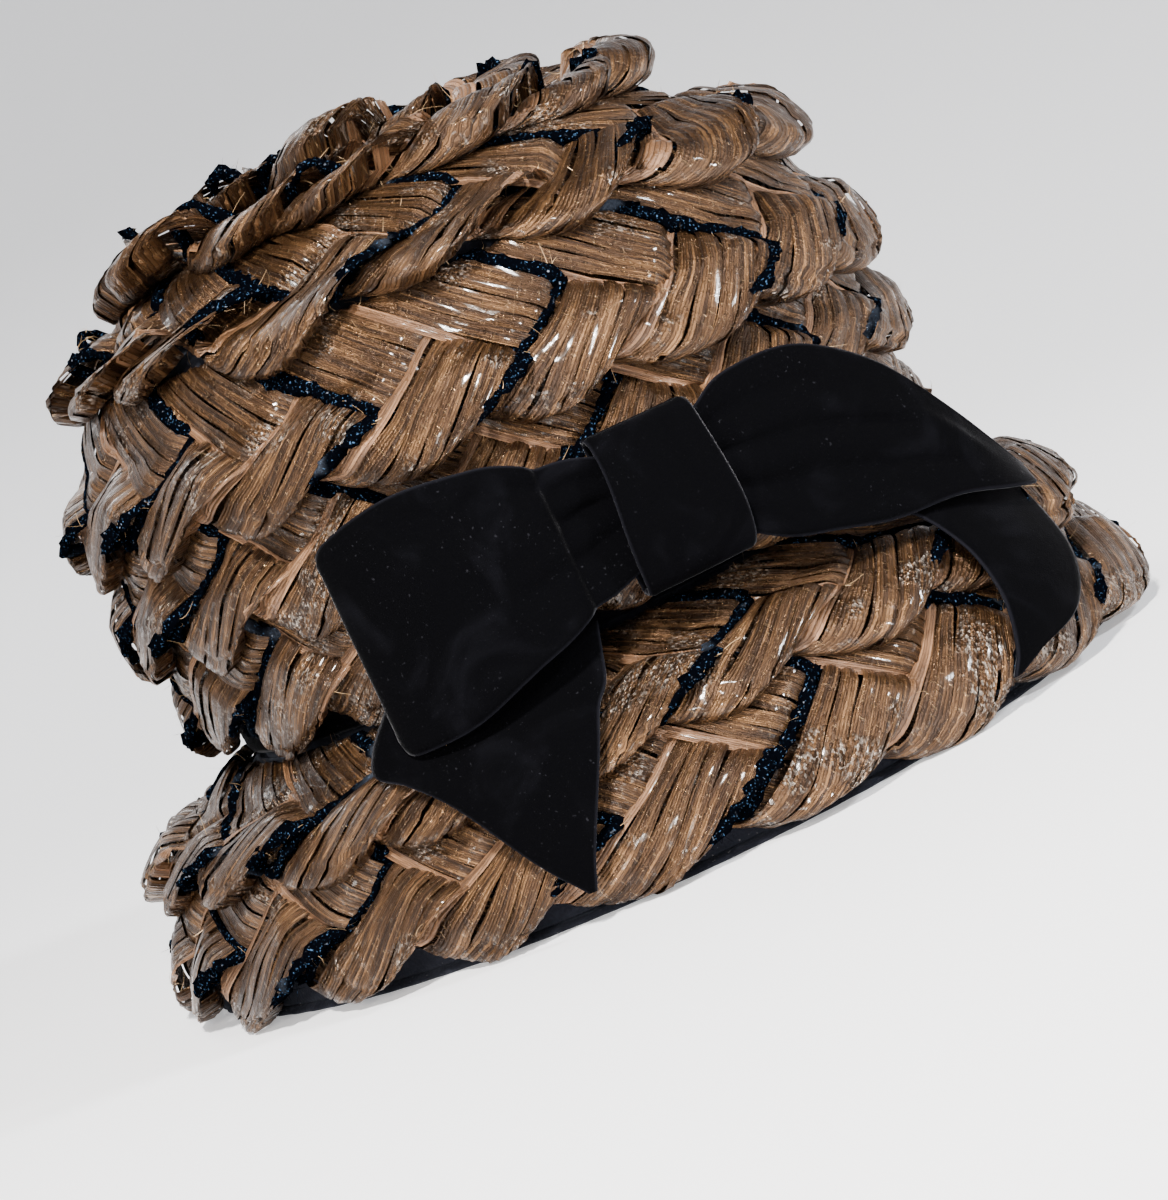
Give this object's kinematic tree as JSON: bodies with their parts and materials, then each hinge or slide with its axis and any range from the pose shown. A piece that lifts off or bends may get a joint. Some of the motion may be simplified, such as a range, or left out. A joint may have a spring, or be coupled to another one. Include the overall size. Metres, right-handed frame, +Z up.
{
  "type": "cloche hat",
  "caption": "Deep bubble-crown cloche covered in rows of plaited bronze straw-ribbon braid, with a black velvet band and a flat bow.",
  "frame": {"origin": "centre of the outline from above, on the surface that the brim edge rests on", "axes": "+Z up out of the crown; -Y towards the wearer's front; +X towards the wearer's left"},
  "size_m": [0.2761, 0.2886, 0.1927],
  "materials": {
    "base_cloth": "matt dark woven cloth",
    "straw_braid": "glossy bronze synthetic straw ribbon with a tan selvedge and a midnight-blue chenille edge",
    "velvet": "black velvet with a soft grey sheen"
  },
  "bodies": {
    "root": {"base_crown_side": "base_cloth", "base_crown_tip": "base_cloth", "base_brim": "base_cloth", "brim_binding": "base_cloth", "crown_braid_1": "straw_braid", "crown_braid_2": "straw_braid", "crown_braid_3": "straw_braid", "crown_braid_4": "straw_braid", "crown_braid_5": "straw_braid", "crown_tip_braid": "straw_braid", "brim_braid_1": "straw_braid", "brim_braid_2": "straw_braid", "ribbon_band": "velvet", "bow_loop_back": "velvet", "bow_loop_front": "velvet", "bow_knot": "velvet", "bow_tail_back": "velvet", "bow_tail_front": "velvet"}
  },
  "joints": []
}
